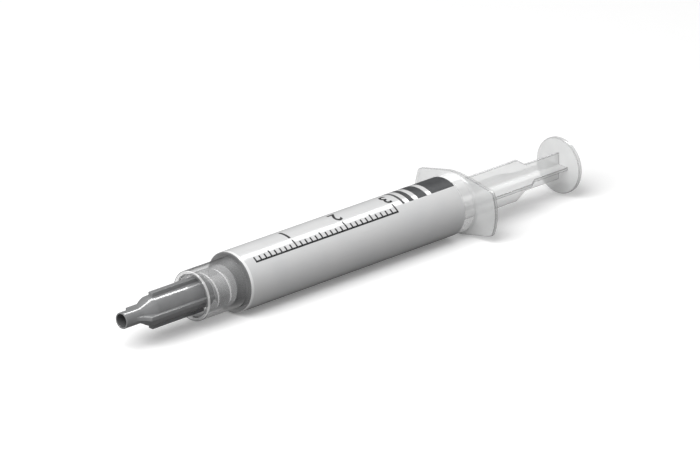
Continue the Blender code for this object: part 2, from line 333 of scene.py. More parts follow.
# thin, thick and graze are the colours of a wall, graze being a painted dark edge seen edge on
# faceOn, edgeOn, behind and shade: how solid it looks face on, edge on, from inside and to the light
clearShared = {
    "ior": 1.55, "coatRough": 0.04, "coatIor": 1.6, "cloudScale": 260.0, "depth": 0.00002,
    "grazeRange": (0.68, 0.95), "underRange": (-0.25, -0.75),
    "ripple": 0.0, "coat": 0.0, "glow": 0.0, "behind": 0.04, "shade": 0.25}    # a look may set its own
# painted light and shade: clearCollar, clearInner, clearFloor and clearShoulder are darker and lighter
# copies of one clear plastic
clearLooks = {
    "clearCollar": {
        "thin": (0.28, 0.282, 0.284), "thick": (0.25, 0.252, 0.254), "graze": (0.05, 0.051, 0.052),
        "grazeRange": (0.42, 0.80), "under": (0.80, 0.80, 0.80), "smooth": 0.44, "rough": 0.52,
        "faceOn": 0.50, "edgeOn": 0.92},
    "clearInner": {
        "thin": (0.86, 0.862, 0.864), "thick": (0.82, 0.822, 0.824), "graze": (0.60, 0.602, 0.604),
        "smooth": 0.32, "rough": 0.42, "faceOn": 0.82, "edgeOn": 0.88},
    "clearFloor": {
        "thin": (0.60, 0.602, 0.604), "thick": (0.56, 0.562, 0.564), "graze": (0.46, 0.462, 0.464),
        "smooth": 0.32, "rough": 0.42, "ripple": 0.03, "glow": 0.10, "faceOn": 0.80, "edgeOn": 0.85},
    "clearShoulder": {
        "thin": (0.34, 0.342, 0.344), "thick": (0.30, 0.302, 0.304), "graze": (0.26, 0.262, 0.264),
        "smooth": 0.22, "rough": 0.30, "ripple": 0.02, "coat": 0.1, "faceOn": 0.30, "edgeOn": 0.48},
    # painted highlight: the lip's rounded edges are painted near white and dark edge on, standing in for
    # highlights caught there
    "clearBead": {
        "thin": (0.76, 0.76, 0.76), "thick": (0.70, 0.70, 0.70), "graze": (0.06, 0.06, 0.06),
        "grazeRange": (0.34, 0.56), "smooth": 0.06, "rough": 0.10, "ripple": 0.02, "coat": 0.6, "glow": 0.03,
        "faceOn": 0.62, "edgeOn": 0.90, "behind": 0.50},
    # painted highlight: the thread crests glow to draw the bright lines seen along the thread
    "clearCrest": {
        "thin": (0.90, 0.90, 0.90), "thick": (0.84, 0.84, 0.84), "graze": (0.70, 0.70, 0.70),
        "smooth": 0.20, "rough": 0.28, "ripple": 0.03, "glow": 0.50,
        "faceOn": 0.02, "edgeOn": 0.04, "behind": 0.80},
    "clearTube": {
        "thin": (0.84, 0.845, 0.845), "thick": (0.80, 0.805, 0.805), "graze": (0.60, 0.605, 0.61),
        "smooth": 0.26, "rough": 0.34, "glow": 0.12,
        "faceOn": 0.30, "edgeOn": 0.50, "behind": 0.03, "shade": 0.60},
    "clearFlange": {
        "thin": (0.60, 0.605, 0.605), "thick": (0.56, 0.565, 0.565), "graze": (0.44, 0.445, 0.45),
        "smooth": 0.04, "rough": 0.09, "ripple": 0.03, "coat": 1.0, "glow": 0.08,
        "faceOn": 0.64, "edgeOn": 0.75, "shade": 0.94},
    "clearRod": {
        "thin": (0.76, 0.765, 0.765), "thick": (0.72, 0.725, 0.725), "graze": (0.52, 0.525, 0.53),
        "smooth": 0.10, "rough": 0.16, "coat": 0.4, "glow": 0.10,
        "faceOn": 0.44, "edgeOn": 0.60, "shade": 0.75},
    # painted shade: clearEdge paints rounded edges of the flange, disc and ribs dark, standing in for dark
    # lines refraction draws there
    "clearEdge": {
        "thin": (0.26, 0.265, 0.265), "thick": (0.22, 0.225, 0.225), "graze": (0.18, 0.182, 0.184),
        "smooth": 0.16, "rough": 0.22, "coat": 0.2,
        "faceOn": 0.60, "edgeOn": 0.80, "behind": 0.15, "shade": 0.60},
}


def clearPlastic(name):
    look = {**clearShared, **clearLooks[name]}
    material, tree, shader = newMaterial(name)
    # painted light: glow makes the wall give off its own thin colour
    setSockets(shader, {
        "IOR": look["ior"], "Coat Weight": look["coat"], "Coat Roughness": look["coatRough"],
        "Coat IOR": look["coatIor"], "Emission Color": (*look["thin"], 1.0),
        "Emission Strength": look["glow"]})
    cloud = addFinish(tree, shader, look)
    body = mixColours(tree, cloud, look["thin"], look["thick"])
    facing = tree.nodes.new("ShaderNodeLayerWeight").outputs["Facing"]
    graze = addRange(tree, facing, *look["grazeRange"])     # a clear wall looks denser edge on
    # painted shade: edge on, the wall's colour turns to its dark graze colour
    colour = mixColours(tree, graze, body, look["graze"])
    # painted reflection: the collar's lower side is painted light, standing in for the white table seen
    # through it
    if "under" in look:     # the lower side bends the white table into view
        normal = tree.nodes.new("ShaderNodeSeparateXYZ")
        setSockets(normal, {"Vector": tree.nodes.new("ShaderNodeTexCoord").outputs["Normal"]})
        lower = addRange(tree, normal.outputs["Z"], *look["underRange"])
        colour = mixColours(tree, lower, colour, look["under"])
    dense = addRange(tree, graze, 0.0, 1.0, look["faceOn"], look["edgeOn"])
    back = tree.nodes.new("ShaderNodeNewGeometry").outputs["Backfacing"]
    seen = addRange(tree, back, 0.0, 1.0, dense, look["behind"])
    shadow = tree.nodes.new("ShaderNodeLightPath").outputs["Is Shadow Ray"]
    alpha = addRange(tree, shadow, 0.0, 1.0, seen, look["shade"])
    setSockets(shader, {"Base Color": colour, "Alpha": alpha})
    return material


filmLooks = {
    "labelFilm": {"white": (0.75, 0.75, 0.75), "shade": (0.71, 0.715, 0.72), "rubbed": (0.65, 0.655, 0.66),
                  "smooth": 0.13, "rough": 0.20, "glow": 0.0},
    # painted highlight: the front band of film is painted near white, standing in for light caught at the
    # barrel's rim
    "rimLightFilm": {"white": (0.97, 0.97, 0.97), "shade": (0.94, 0.94, 0.94), "rubbed": (0.88, 0.88, 0.88),
                 "smooth": 0.10, "rough": 0.16, "glow": 0.0},
    # painted light: the film's back glows, standing in for daylight that comes through the film
    "filmBack": {"white": (0.60, 0.60, 0.60), "shade": (0.57, 0.57, 0.57), "rubbed": (0.52, 0.52, 0.52),
                 "smooth": 0.40, "rough": 0.50, "glow": 0.12},    # daylight comes through the film
}
filmShared = {
    "cloudScale": 150.0, "ripple": 0.05, "depth": 0.00002, "along": 90.0, "round": 1100.0, "worn": 0.25}


def labelFilm(name):
    look = {**filmShared, **filmLooks[name]}
    material, tree, shader = newMaterial(name)
    setSockets(shader, {"Emission Color": (*look["white"], 1.0), "Emission Strength": look["glow"]})
    mottle = mixColours(tree, addFinish(tree, shader, look), look["white"], look["shade"])
    faded = addRange(tree, addRub(tree, look), 0.0, 1.0, 0.0, look["worn"])
    setSockets(shader, {"Base Color": mixColours(tree, faded, mottle, look["rubbed"])})
    return material


inkLooks = {
    "inkBlack": {
        "deep": (0.012, 0.012, 0.013), "thin": (0.035, 0.035, 0.037), "smooth": 0.45, "rough": 0.60},
    "inkCharcoal": {
        "deep": (0.050, 0.052, 0.055), "thin": (0.072, 0.074, 0.078), "smooth": 0.40, "rough": 0.55},
}
inkShared = {"cloudScale": 900.0, "ripple": 0.05, "depth": 0.00002, "specular": 0.15}


def printInk(name):
    look = {**inkShared, **inkLooks[name]}
    material, tree, shader = newMaterial(name)
    setSockets(shader, {"Specular IOR Level": look["specular"]})
    mottle = mixColours(tree, addFinish(tree, shader, look), look["deep"], look["thin"])
    setSockets(shader, {"Base Color": mottle})
    return material


capLooks = {
    "capPlastic": {
        "deep": (0.205, 0.207, 0.210), "light": (0.235, 0.237, 0.240), "rubbed": (0.29, 0.292, 0.295),
        "smooth": 0.14, "rough": 0.20, "coat": 0.45},
    # painted shade: a darker copy of the cap plastic for the inside of the stem's bore
    "capBoreShade": {
        "deep": (0.100, 0.101, 0.102), "light": (0.120, 0.121, 0.122), "rubbed": (0.14, 0.141, 0.142),
        "smooth": 0.35, "rough": 0.45, "coat": 0.0},
}
capShared = {
    "ior": 1.55, "coatRough": 0.08, "cloudScale": 300.0, "ripple": 0.03, "depth": 0.00002,
    "along": 160.0, "round": 1900.0, "worn": 0.35}


def capPlastic(name):
    look = {**capShared, **capLooks[name]}
    material, tree, shader = newMaterial(name)
    setSockets(shader, {
        "IOR": look["ior"], "Coat Weight": look["coat"], "Coat Roughness": look["coatRough"]})
    mottle = mixColours(tree, addFinish(tree, shader, look), look["deep"], look["light"])
    worn = addRange(tree, addRub(tree, look), 0.0, 1.0, 0.0, look["worn"])
    setSockets(shader, {"Base Color": mixColours(tree, worn, mottle, look["rubbed"])})
    return material


rubberLook = {
    "deep": (0.016, 0.016, 0.017), "bloom": (0.045, 0.045, 0.046), "smooth": 0.42, "rough": 0.58,
    "cloudScale": 500.0, "ripple": 0.25, "depth": 0.00005, "along": 700.0, "round": 700.0}


def sealRubber():
    material, tree, shader = newMaterial("sealRubber")
    addFinish(tree, shader, rubberLook)
    colour = mixColours(tree, addRub(tree, rubberLook), rubberLook["deep"], rubberLook["bloom"])
    setSockets(shader, {"Base Color": colour})
    return material


pasteLook = {
    "dark": (0.15, 0.152, 0.155), "light": (0.18, 0.182, 0.185), "smooth": 0.45, "rough": 0.60,
    "cloudScale": 700.0, "ripple": 0.15, "depth": 0.00005}


def greyPaste():
    material, tree, shader = newMaterial("greyPaste")
    swirl = mixColours(tree, addFinish(tree, shader, pasteLook), pasteLook["dark"], pasteLook["light"])
    setSockets(shader, {"Base Color": swirl})
    return material


finishes = {name: clearPlastic(name) for name in clearLooks}
finishes.update({name: labelFilm(name) for name in filmLooks})
finishes.update({name: printInk(name) for name in inkLooks})
finishes.update({name: capPlastic(name) for name in capLooks})
finishes["sealRubber"] = sealRubber()
finishes["greyPaste"] = greyPaste()
print("materials made")


def pickFinishes(names):
    return [finishes[name] for name in names]


# Barrel: tube, flat shoulder, luer cone, lock collar with its inner thread, and the finger flange

barrel = {
    "radius": 5.80, "bore": 4.90, "rimRound": 0.22, "shoulderFillet": 0.15, "shoulderBand": 0.30,
    "middle": -30.0, "tubeRings": (-2.0, -16.0, -45.0, -59.0),
    "chamberFront": -0.70, "throat": 0.60, "throatDepth": 0.45, "throatFlare": 0.20, "throatRound": 0.15,
    "nozzle": 1.10, "boreRound": 0.20, "boreEase": 0.30,
    "beadStation": -57.6, "bead": 4.70, "beadHalf": 0.25, "beadBack": 0.80, "beadFront": 1.00,
    "mouthFlare": 0.30, "mouthDepth": 0.45, "mouthRound": 0.25,
    "collarFront": 9.70, "collarFloor": 1.70, "collar": 4.85, "collarRoot": 3.95, "collarRound": 0.36,
    "leadIn": 0.60, "leadDepth": 0.20, "leadRound": 0.14, "floorBand": 0.05, "floorNormal": 0.9,
    "coneTip": 11.80, "coneTipRadius": 1.96, "coneTipRound": 0.22, "coneRootRound": 0.25, "coneSlope": 0.03,
    "flangeFront": -60.05, "flangeThick": 0.85, "flangeWide": 10.80, "flangeHigh": 6.20,
    "flangeSlope": 0.20, "flangeCrown": 14.0, "flangeBlend": 0.80, "flangeEdge": 0.26, "edgeRings": 5,
    "flangeFillet": 0.55, "filletShare": 0.6, "filletLeast": 0.05, "filletRings": 4,
    "steps": 192, "cornerSteps": 10, "cornerStep": 0.85, "leastStep": 0.3}      # last two in degrees
barrelFinish = [
    "clearCollar", "clearFlange", "clearEdge", "clearBead", "clearInner",
    "clearShoulder", "clearTube", "clearCrest", "clearFloor"]
thread = {
    "lead": 3.10, "start": 6.22, "depth": 0.27, "crest": 0.22, "base": 0.76, "first": 2.35, "last": 8.45,
    "fade": 0.55, "ringStep": 0.09, "crestShare": 0.82, "crestInner": 3.0}

flangeTilt = math.atan(barrel["flangeSlope"])
flangeDrop = barrel["flangeCrown"] - barrel["flangeHigh"]
flangeApex = barrel["flangeCrown"] / math.cos(flangeTilt) - flangeDrop


def coneRadius(station):
    return barrel["coneTipRadius"] + barrel["coneSlope"] * (barrel["coneTip"] - station)


def smoothMin(a, b, blend):
    overlap = max(blend - abs(a - b), 0.0) / blend
    return min(a, b) - overlap * overlap * blend / 4.0


def smoothStep(value):
    t = min(max(value, 0.0), 1.0)
    return t * t * (3.0 - 2.0 * t)


def flangeReach(angle):
    across, up = abs(math.cos(angle)), abs(math.sin(angle))
    crown = -flangeDrop * up + math.sqrt(barrel["flangeCrown"] ** 2 - (flangeDrop * across) ** 2)
    if crown * across < barrel["flangeCrown"] * math.sin(flangeTilt):
        return crown
    slope = flangeApex / (up + barrel["flangeSlope"] * across)
    return smoothMin(slope, barrel["flangeWide"], barrel["flangeBlend"])


def barrelAngles():
    # even angles, with closer ones round the flange's four corners
    corner = math.asin(flangeApex * math.cos(flangeTilt) / barrel["flangeWide"]) - flangeTilt
    step, count = math.radians(barrel["cornerStep"]), barrel["cornerSteps"]
    angles = evenAngles(barrel["steps"])
    for middle in (corner, math.pi - corner, math.pi + corner, fullTurn - corner):
        angles += [middle + step * (k - (count - 1) / 2) for k in range(count)]
    spaced = []
    for angle in sorted(angles):
        if not spaced or angle - spaced[-1] > math.radians(barrel["leastStep"]):
            spaced.append(angle)
    return spaced


def threadRise(station, angle):
    lead = thread["lead"]
    off = (station - thread["start"] - lead * angle / fullTurn + lead / 2) % lead - lead / 2
    centre = station - off
    ends = smoothStep((centre - thread["first"]) / thread["fade"])
    ends *= smoothStep((thread["last"] - centre) / thread["fade"])
    flank = (thread["base"] - thread["crest"]) / 2
    return thread["depth"] * ends * smoothStep((thread["base"] / 2 - abs(off)) / flank)


def threadWall(station):
    return lambda angle: barrel["collarRoot"] - threadRise(station, angle)


def flangeEdge(inset):
    return lambda angle: flangeReach(angle) - inset


def filletSize(angle):
    room = flangeReach(angle) - barrel["radius"] - barrel["flangeEdge"]
    return min(max(room * barrel["filletShare"], barrel["filletLeast"]), barrel["flangeFillet"])


def filletRing(turn):
    station = lambda angle: barrel["flangeFront"] + filletSize(angle) * (1 - math.sin(turn))
    radius = lambda angle: barrel["radius"] + filletSize(angle) * (1 - math.cos(turn))
    return station, radius


def frontLine(b, collarTop):
    # from the cone's tip into the collar, along its thread and out to the tube
    line = softCorners([
        (b["coneTip"], b["nozzle"], 0),
        (b["coneTip"], b["coneTipRadius"], b["coneTipRound"]),
        (b["collarFloor"], coneRadius(b["collarFloor"]), b["coneRootRound"]),
        (b["collarFloor"], b["collarRoot"], 0),
    ])
    count = round((collarTop - b["collarFloor"]) / thread["ringStep"])
    for i in range(1, count):
        station = b["collarFloor"] + (collarTop - b["collarFloor"]) * i / count
        line.append((station, threadWall(station)))
    return line + softCorners([
        (collarTop, b["collarRoot"], 0),
        (b["collarFront"], b["collarRoot"] + b["leadDepth"], b["leadRound"]),
        (b["collarFront"], b["collar"], b["collarRound"]),
        (0.0, b["collar"], b["shoulderFillet"]),
        (0.0, b["radius"], b["rimRound"]),
        (b["flangeFront"], b["radius"], 0),
    ])[:-1]


def flangeLine(b, back):
    line = [filletRing(turn) for turn in quarterTurn(b["filletRings"])]
    edge, turns = b["flangeEdge"], quarterTurn(b["edgeRings"])
    for turn in turns:
        station = b["flangeFront"] - edge * (1 - math.cos(turn))
        line.append((station, flangeEdge(edge * (1 - math.sin(turn)))))
    for turn in reversed(turns):
        station = back + edge * (1 - math.cos(turn))
        line.append((station, flangeEdge(edge * (1 - math.sin(turn)))))
    return line


def boreLine(b, back):
    return softCorners([
        (back, b["radius"], 0),
        (back, b["bore"] + b["mouthFlare"], b["mouthRound"]),
        (back + b["mouthDepth"], b["bore"], b["boreRound"]),
        (b["beadStation"] - b["beadBack"], b["bore"], b["boreRound"]),
        (b["beadStation"] - b["beadHalf"], b["bead"], b["boreRound"]),
        (b["beadStation"] + b["beadHalf"], b["bead"], b["boreRound"]),
        (b["beadStation"] + b["beadFront"], b["bore"], b["boreEase"]),
        (b["middle"], b["bore"], 0),
        (b["chamberFront"], b["bore"], b["boreEase"]),
        (b["throat"], b["nozzle"] + b["throatFlare"], b["throatRound"]),
        (b["throat"] + b["throatDepth"], b["nozzle"], b["throatRound"]),
        (b["coneTip"], b["nozzle"], 0),
    ])[1:-1]


def makeBarrel():
    b = barrel
    collarTop = b["collarFront"] - b["leadIn"]
    back = b["flangeFront"] - b["flangeThick"]
    tube = [(station, b["radius"]) for station in sorted((*b["tubeRings"], b["middle"]), reverse=True)]
    line = frontLine(b, collarTop) + tube + flangeLine(b, back) + boreLine(b, back)
    shape = turnedShape(line, barrelAngles())
    slot, slack = barrelFinish.index, meshRules["slack"]
    markFaces(shape, slot("clearFlange"), lambda station, reach, normal: station < b["middle"])
    markFaces(shape, slot("clearTube"), lambda station, reach, normal: station < b["middle"] and (
        reach < b["bore"] + slack or station > b["flangeFront"] + b["flangeFillet"]))
    # painted shade: the flange's rounded rim gets the dark edge look
    markFaces(shape, slot("clearEdge"), lambda station, reach, normal: (
        station < b["flangeFront"] and reach > b["radius"] and onRounding(normal)))
    markFaces(shape, slot("clearInner"), lambda station, reach, normal: (
        station > b["chamberFront"] and reach < b["collarRoot"] + slack))
    markFaces(shape, slot("clearShoulder"), lambda station, reach, normal: (
        abs(station) < b["shoulderBand"] and b["collar"] < reach < b["radius"] - b["rimRound"]))
    # painted highlight: the lip's rounded edges get the near white bead look
    markFaces(shape, slot("clearBead"), lambda station, reach, normal: (
        station > collarTop and reach > b["collarRoot"] and onRounding(normal)))
    # painted light: the collar's floor gets the lighter, glowing floor look
    markFaces(shape, slot("clearFloor"), lambda station, reach, normal: (
        abs(station - b["collarFloor"]) < b["floorBand"] and normal.x > b["floorNormal"]
        and reach < b["collarRoot"]))
    crest = b["collarRoot"] - thread["depth"] * thread["crestShare"]
    # painted highlight: the thread crests get the glowing crest look
    markFaces(shape, slot("clearCrest"), lambda station, reach, normal: (
        thread["first"] < station < thread["last"] and thread["crestInner"] < reach < crest))
    piece = newPiece("barrelShell", shape, pickFinishes(barrelFinish))
    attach(piece, "barrel")
    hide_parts("barrel")


makeBarrel()
print("barrel made")


# Label: one turn of printed film with an overlapped seam on the far side, and a volume scale in numbers

label = {
    "front": -0.25, "back": -56.80, "inner": 5.79, "film": 0.085, "border": -0.85, "ringStep": 4.0,
    "seamAngle": 218.0, "overlap": 14.0, "ramp": 5.0, "lap": 1.05, "steps": 216,
    "bands": [(-56.8, -50.6), (-49.4, -47.0), (-45.8, -44.6), (-43.4, -42.8)],
    "bandFrom": 58.0, "bandTo": 200.0}
labelFinish = ["labelFilm", "inkCharcoal", "rimLightFilm", "filmBack"]


def labelStations():
    ends = {label["front"], label["border"], label["back"], *[s for band in label["bands"] for s in band]}
    ends = sorted(ends, reverse=True)
    stations = []
    for ahead, behind in zip(ends, ends[1:]):
        count = max(1, round((ahead - behind) / label["ringStep"]))
        stations += [ahead + (behind - ahead) * i / count for i in range(count)]
    stations.append(ends[-1])
    return stations


def filmRow(shape, station, layer, sweep):
    # the film climbs on to its own start where it overlaps
    row = []
    for k in range(label["steps"] + 1):
        turned = sweep * k / label["steps"]
        over = math.degrees(turned) - 360.0 + label["ramp"]
        lift = label["film"] * label["lap"] * smoothStep(over / label["ramp"])
        angle = math.radians(label["seamAngle"]) + turned
        row.append(shape.verts.new(roundPlace(station, label["inner"] + layer + lift, angle)))
    return row


def makeLabel():
    stations, steps = labelStations(), label["steps"]
    sweep = fullTurn + math.radians(label["overlap"])
    shape = bmesh.new()
    inside = [filmRow(shape, station, 0.0, sweep) for station in stations]
    outside = [filmRow(shape, station, label["film"], sweep) for station in stations]
    for i in range(len(stations) - 1):
        middle = (stations[i] + stations[i + 1]) / 2
        # painted highlight: the band in front of the border gets the near white film
        plain = "rimLightFilm" if middle > label["border"] else "labelFilm"
        printed = any(low < middle < high for low, high in label["bands"])
        for k in range(steps):
            angle = (label["seamAngle"] + math.degrees(sweep) * (k + 0.5) / steps) % 360.0
            inBand = printed and label["bandFrom"] < angle < label["bandTo"]
            front = "inkCharcoal" if inBand else plain
            for rows, finish in ((inside, "filmBack"), (outside, front)):
                face = shape.faces.new((rows[i][k], rows[i][k + 1], rows[i + 1][k + 1], rows[i + 1][k]))
                face.material_index = labelFinish.index(finish)
        for k in (0, steps):
            shape.faces.new((inside[i][k], inside[i + 1][k], outside[i + 1][k], outside[i][k]))
    for i in (0, len(stations) - 1):
        for k in range(steps):
            shape.faces.new((inside[i][k], outside[i][k], outside[i][k + 1], inside[i][k + 1]))
    piece = newPiece("labelWrap", shape, pickFinishes(labelFinish))
    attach(piece, "barrel")
    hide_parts("wrap_label")


scale = {
    "zero": -0.70, "perUnit": 13.26, "finest": 0.1, "first": 0.2, "last": 3.0,
    "baseAngle": 49.0, "width": 0.36, "ink": 0.014, "sunk": 0.010, "slice": 0.35,
    "short": 0.9, "middle": 1.3, "long": 1.8,
    "figure": 2.9, "figureGap": 0.4, "figureShare": 0.72, "bold": 0.07, "cuts": 8, "weld": 1e-5}


def wrapPoint(along, upward, lift):
    # flat print coordinates on to the film: along the barrel towards the tip, and up from its far side
    radius = label["inner"] + label["film"] + lift
    return roundPlace(along, radius, math.radians(scale["baseAngle"]) - upward / radius)


def inkBlock(shape, along, upward, width, height):
    rows = []
    sides = (along - width / 2, along + width / 2)
    slices = max(1, math.ceil(height / scale["slice"]))
    for lift in (-scale["sunk"], scale["ink"]):
        rows.append([])
        for i in range(slices + 1):
            v = upward + height * i / slices
            rows[-1].append([shape.verts.new(wrapPoint(side, v, lift)) for side in sides])
    under, over = rows
    for i in range(slices):
        for row in rows:
            shape.faces.new((row[i][0], row[i][1], row[i + 1][1], row[i + 1][0]))
        for side in (0, 1):
            shape.faces.new((under[i][side], under[i + 1][side], over[i + 1][side], over[i][side]))
    for i in (0, slices):
        shape.faces.new((under[i][0], under[i][1], over[i][1], over[i][0]))


def inkFigure(shape, text, along, upward, height):
    curve = bpy.data.curves.new("figure", "FONT")
    curve.body = text
    curve.align_x = "CENTER"
    curve.size = height / scale["figureShare"]
    curve.extrude = 0.5     # only tells the front from the back
    curve.offset = scale["bold"]
    curve.resolution_u = 6
    holder = addObject("figure", curve)
    mesh = bpy.data.meshes.new_from_object(holder.evaluated_get(bpy.context.evaluated_depsgraph_get()))
    flat = bmesh.new()
    flat.from_mesh(mesh)
    bmesh.ops.remove_doubles(flat, verts=flat.verts, dist=scale["weld"])
    for i in range(scale["cuts"]):      # rows of cuts let the figure follow the round film
        cut = height * (i + 1) / (scale["cuts"] + 1)
        bmesh.ops.bisect_plane(flat, geom=flat.verts[:] + flat.edges[:] + flat.faces[:],
                               plane_co=(0, cut, 0), plane_no=(0, 1, 0), dist=scale["weld"])
    made = {}
    for vert in flat.verts:
        lift = scale["ink"] if vert.co.z > 0 else -scale["sunk"]
        made[vert] = shape.verts.new(wrapPoint(along + vert.co.x, upward + vert.co.y, lift))
    for face in flat.faces:
        shape.faces.new([made[v] for v in face.verts])
    flat.free()
    bpy.data.objects.remove(holder, do_unlink=True)
    bpy.data.curves.remove(curve)
    bpy.data.meshes.remove(mesh)


def markStation(count):
    return scale["zero"] - scale["perUnit"] * scale["finest"] * count


def makeScale():
    shape = bmesh.new()
    perFigure = round(1.0 / scale["finest"])
    first = round(scale["first"] / scale["finest"])
    last = round(scale["last"] / scale["finest"])
    foot = -scale["long"] - scale["figureGap"] - scale["figure"]
    for i in range(first, last + 1):
        length = scale["short"]
        if i % perFigure == 0:
            length = scale["long"]
            inkFigure(shape, str(i // perFigure), markStation(i), foot, scale["figure"])
        elif 2 * i % perFigure == 0:
            length = scale["middle"]
        inkBlock(shape, markStation(i), -length, scale["width"], length)
    begin, end = markStation(first), markStation(last)
    inkBlock(shape, (begin + end) / 2, 0.0, begin - end + scale["width"], scale["width"])
    piece = newPiece("labelScale", shape, pickFinishes(["inkBlack"]))
    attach(piece, "barrel")


makeLabel()
makeScale()
print("label made")


# Plunger: rubber seal, and a clear rod with cross ribs, guide disc and thumb disc

seal = {
    "front": -25.70, "length": 7.40, "noseRadius": 1.30, "noseLength": 1.35, "noseRound": 0.5,
    "waist": 4.45, "waistRound": 0.2, "rib": 4.82, "ribs": [(1.90, 2.60), (5.25, 6.10)],
    "ribSlope": 0.3, "ribRound": 0.22, "ribFoot": 0.1, "ribHeel": 0.15,
    "skirt": 4.60, "skirtRound": 0.2, "lip": 0.15, "lipRound": 0.1,
    "mouth": 1.80, "mouthLength": 1.40, "mouthRound": 0.25, "mouthEdge": 0.1,
    "socket": 2.60, "socketRound": 0.2, "floor": 2.40, "floorRound": 1.0, "steps": 128}


def makeSeal():
    s = seal
    nose, back = s["front"], s["front"] - s["length"]
    shelf, floor = back + s["mouthLength"], nose - s["floor"]
    corners = [
        (nose, 0, 0), (nose, s["noseRadius"], s["noseRound"]),
        (nose - s["noseLength"], s["waist"], s["waistRound"])]
    for start, end in s["ribs"]:
        corners += [
            (nose - start + s["ribSlope"], s["waist"], s["ribFoot"]),
            (nose - start, s["rib"], s["ribRound"]), (nose - end, s["rib"], s["ribRound"]),
            (nose - end - s["ribSlope"], s["waist"], s["ribHeel"])]
    corners += [
        (back + s["lip"], s["skirt"], s["skirtRound"]), (back, s["skirt"] - s["lip"], s["lipRound"]),
        (back, s["mouth"], s["mouthRound"]), (shelf, s["mouth"], s["mouthEdge"]),
        (shelf, s["socket"], s["socketRound"]), (floor, s["socket"], s["floorRound"]), (floor, 0, 0)]
    shape = turnedShape(softCorners(corners), evenAngles(s["steps"]))
    piece = newPiece("sealPlug", shape, pickFinishes(["sealRubber"]))
    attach(piece, "seal")
    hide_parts("plunger_seal")


rod = {
    "ribThick": 0.65, "wide": 4.25, "narrow": 2.75, "stepFront": -77.10, "stepBack": -79.50,
    "edge": 0.16, "edgeSteps": 3, "root": 0.30, "rootSteps": 4, "wideRings": 10, "narrowRings": 3,
    "guideFront": -33.45, "guideThick": 1.10, "guide": 4.50, "guideRound": 0.15,
    "neck": 1.55, "neckRound": 0.1, "neckFillet": 0.3,
    "head": 2.35, "headFront": -28.45, "headBack": -31.35, "headNose": 1.1, "headRound": 0.15,
    "discFront": -88.95, "discThick": 0.90, "disc": 5.70, "discRound": 0.30, "discSteps": 6,
    "gate": 0.75, "gateDepth": 0.10, "gateSlope": 0.12, "gateRound": 0.08, "gateFloor": 0.06,
    "meetLine": 0.09, "meetDepth": 0.05, "steps": 128}
rodFinish = ["clearRod", "clearEdge", "clearFlange"]


def ribSection(shape, station, reach):
    # one rib's outer corners and the fillet at its root, four times round
    half, edge, root = rod["ribThick"] / 2, rod["edge"], rod["root"]
    quarter = []
    for turn in quarterTurn(rod["edgeSteps"]):
        quarter.append((reach - edge + edge * math.sin(turn), -half + edge - edge * math.cos(turn)))
    for turn in quarterTurn(rod["edgeSteps"]):
        quarter.append((reach - edge + edge * math.cos(turn), half - edge + edge * math.sin(turn)))
    for turn in quarterTurn(rod["rootSteps"]):
        quarter.append((half + root - root * math.sin(turn), half + root - root * math.cos(turn)))
    ring = []
    for side in range(4):
        cos, sin = round(math.cos(side * math.pi / 2)), round(math.sin(side * math.pi / 2))
        for out, along in quarter:
            ring.append(shape.verts.new(place(station, out * cos - along * sin, out * sin + along * cos)))
    return ring


def ribReach(station):
    share = (rod["stepFront"] - station) / (rod["stepFront"] - rod["stepBack"])
    return rod["wide"] + (rod["narrow"] - rod["wide"]) * min(max(share, 0.0), 1.0)


def ribStations(meet):
    front = rod["guideFront"] - rod["guideThick"] / 2
    wide, narrow = rod["wideRings"], rod["narrowRings"]
    stations = [front - (front - rod["stepFront"]) * i / wide for i in range(wide + 1)]
    stations += [rod["stepBack"] - (rod["stepBack"] - meet) * i / narrow for i in range(narrow + 1)]
    stations.append(rod["discFront"] - rod["meetDepth"])
    return stations


def headShape(angles):
    r = rod
    guideBack = r["guideFront"] - r["guideThick"]
    return turnedShape(softCorners([
        (r["headFront"], 0, 0), (r["headFront"], r["head"], r["headNose"]),
        (r["headBack"], r["head"], r["headRound"]), (r["headBack"], r["neck"], r["neckRound"]),
        (r["guideFront"], r["neck"], r["neckFillet"]), (r["guideFront"], r["guide"], r["guideRound"]),
        (guideBack, r["guide"], r["guideRound"]), (guideBack, 0, 0)]), angles)


def discShape(angles):
    r = rod
    back = r["discFront"] - r["discThick"]
    gateFloor = back + r["gateDepth"]
    shape = turnedShape(softCorners([
        (r["discFront"], 0, 0), (r["discFront"], r["disc"], r["discRound"]),
        (back, r["disc"], r["discRound"]), (back, r["gate"], r["gateRound"]),
        (gateFloor, r["gate"] - r["gateSlope"], r["gateFloor"]), (gateFloor, 0, 0)], r["discSteps"]), angles)
    slot = rodFinish.index
    markFaces(shape, slot("clearFlange"), lambda station, reach, normal: True)
    # painted shade: the disc's rounded rim gets the dark edge look
    markFaces(shape, slot("clearEdge"), lambda station, reach, normal: (
        reach > r["gate"] and onRounding(normal)))
    return shape


def makeRod():
    shape = bmesh.new()
    meet = rod["discFront"] + rod["meetLine"]
    rings = [ribSection(shape, station, ribReach(station)) for station in ribStations(meet)]
    for ahead, behind in zip(rings, rings[1:]):
        skinRings(shape, ahead, behind)
    shape.faces.new(rings[0])
    shape.faces.new(rings[-1])
    # painted shade: the ribs' rounded edges and a thin band where they meet the disc take the dark edge look
    markFaces(shape, rodFinish.index("clearEdge"), lambda station, reach, normal: station < meet or (
        reach > ribReach(station) - rod["edge"]
        and max(abs(normal.y), abs(normal.z)) < meshRules["roundTo"]))
    finish, angles = pickFinishes(rodFinish), evenAngles(rod["steps"])
    piece = newPiece("plungerRod", shape, finish)
    uniteInto(piece, [newPiece("rodHead", headShape(angles), finish)])
    addShell(piece, newPiece("rodDisc", discShape(angles), finish))
    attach(piece, "rod")
    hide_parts("plunger_rod")


makeSeal()
makeRod()
print("plunger made")


# Filling: rings set from the nozzle and the bore, and rings set from the seal's front, with nothing between
# them

